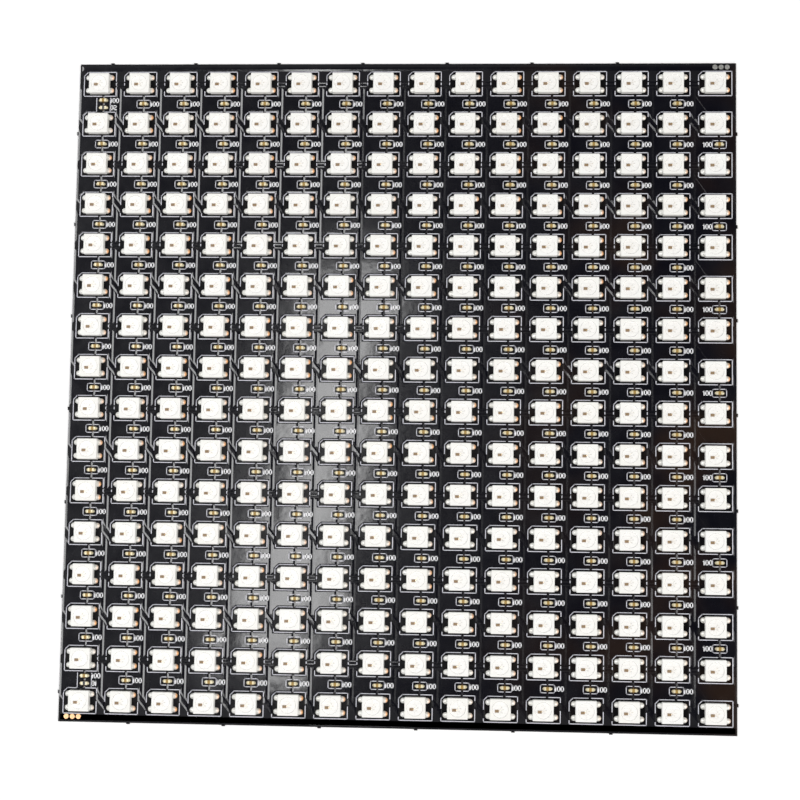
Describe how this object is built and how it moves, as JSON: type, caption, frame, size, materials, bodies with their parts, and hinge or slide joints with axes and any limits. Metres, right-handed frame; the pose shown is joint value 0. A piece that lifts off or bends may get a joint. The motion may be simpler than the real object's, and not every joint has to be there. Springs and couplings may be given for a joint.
{
  "type": "rgb led matrix panel",
  "caption": "Flexible black circuit sheet with a square grid of white surface-mount LED packages, small capacitors between them and wire lands at two corners.",
  "frame": {"origin": "middle of the board's back face, which lies on the floor", "axes": "+Z out of the lit face, +Y up the columns towards the first row, +X along the rows, to the right as seen from the lit side"},
  "size_m": [0.1606, 0.1606, 0.0018],
  "materials": {
    "flex_film": "glossy black coverlay film over copper",
    "led_housing": "moulded white, satin",
    "solder": "bright reflowed solder",
    "capacitor_ceramic": "brown ceramic with tinned ends",
    "resistor_ceramic": "dark glaze over ceramic with tinned ends",
    "copper_land": "bare copper, slightly dulled",
    "tinned_land": "tinned copper"
  },
  "bodies": {
    "root": {"flex_board": "flex_film", "led_row_01": "led_housing", "led_row_02": "led_housing", "led_row_03": "led_housing", "led_row_04": "led_housing", "led_row_05": "led_housing", "led_row_06": "led_housing", "led_row_07": "led_housing", "led_row_08": "led_housing", "led_row_09": "led_housing", "led_row_10": "led_housing", "led_row_11": "led_housing", "led_row_12": "led_housing", "led_row_13": "led_housing", "led_row_14": "led_housing", "led_row_15": "led_housing", "led_row_16": "led_housing", "lead_row_01": "solder", "lead_row_02": "solder", "lead_row_03": "solder", "lead_row_04": "solder", "lead_row_05": "solder", "lead_row_06": "solder", "lead_row_07": "solder", "lead_row_08": "solder", "lead_row_09": "solder", "lead_row_10": "solder", "lead_row_11": "solder", "lead_row_12": "solder", "lead_row_13": "solder", "lead_row_14": "solder", "lead_row_15": "solder", "lead_row_16": "solder", "capacitor_row_01": "capacitor_ceramic", "capacitor_row_02": "capacitor_ceramic", "capacitor_row_03": "capacitor_ceramic", "capacitor_row_04": "capacitor_ceramic", "capacitor_row_05": "capacitor_ceramic", "capacitor_row_06": "capacitor_ceramic", "capacitor_row_07": "capacitor_ceramic", "capacitor_row_08": "capacitor_ceramic", "capacitor_row_09": "capacitor_ceramic", "capacitor_row_10": "capacitor_ceramic", "capacitor_row_11": "capacitor_ceramic", "capacitor_row_12": "capacitor_ceramic", "capacitor_row_13": "capacitor_ceramic", "capacitor_row_14": "capacitor_ceramic", "capacitor_row_15": "capacitor_ceramic", "upper_resistor": "resistor_ceramic", "lower_resistor": "resistor_ceramic", "upper_wire_lands": "tinned_land", "lower_wire_lands": "copper_land"}
  },
  "joints": []
}
